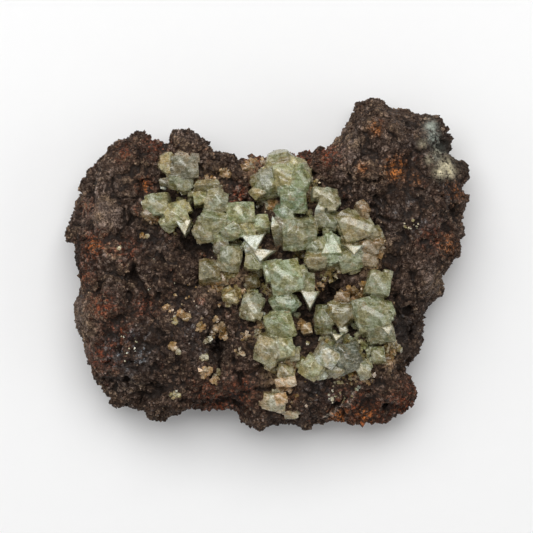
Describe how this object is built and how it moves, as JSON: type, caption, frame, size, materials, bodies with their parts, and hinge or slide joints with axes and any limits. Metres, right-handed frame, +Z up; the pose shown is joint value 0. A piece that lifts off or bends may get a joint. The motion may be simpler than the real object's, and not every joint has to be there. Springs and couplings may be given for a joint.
{
  "type": "adamite specimen",
  "caption": "Pale green adamite crystals grown across a rough dark brown gossan lump with a flat rest face underneath.",
  "frame": {"origin": "on the flat rest face under the middle of the lump", "axes": "+X along the lump's longest side, +Y towards the notched edge with the two lobes, +Z up through the crystals"},
  "size_m": [0.081, 0.066, 0.0237],
  "materials": {
    "gossan": "rough, granular, dull to slightly waxy",
    "adamite": "translucent pale green, vitreous",
    "tan_adamite": "iron stained, dull vitreous"
  },
  "bodies": {
    "root": {"matrix": "gossan", "adamite_northwest": "adamite", "adamite_west": "adamite", "adamite_middle_band": "adamite", "adamite_north": "adamite", "adamite_centre": "adamite", "adamite_ridged": "adamite", "adamite_olive": "adamite", "adamite_east": "adamite", "adamite_south_east": "adamite", "adamite_gully": "adamite", "crystals_tan_south": "tan_adamite", "crystals_pink_south": "tan_adamite", "crystals_pale_slab": "tan_adamite", "crystals_pale_rim": "tan_adamite", "crystals_brown": "tan_adamite"}
  },
  "joints": []
}
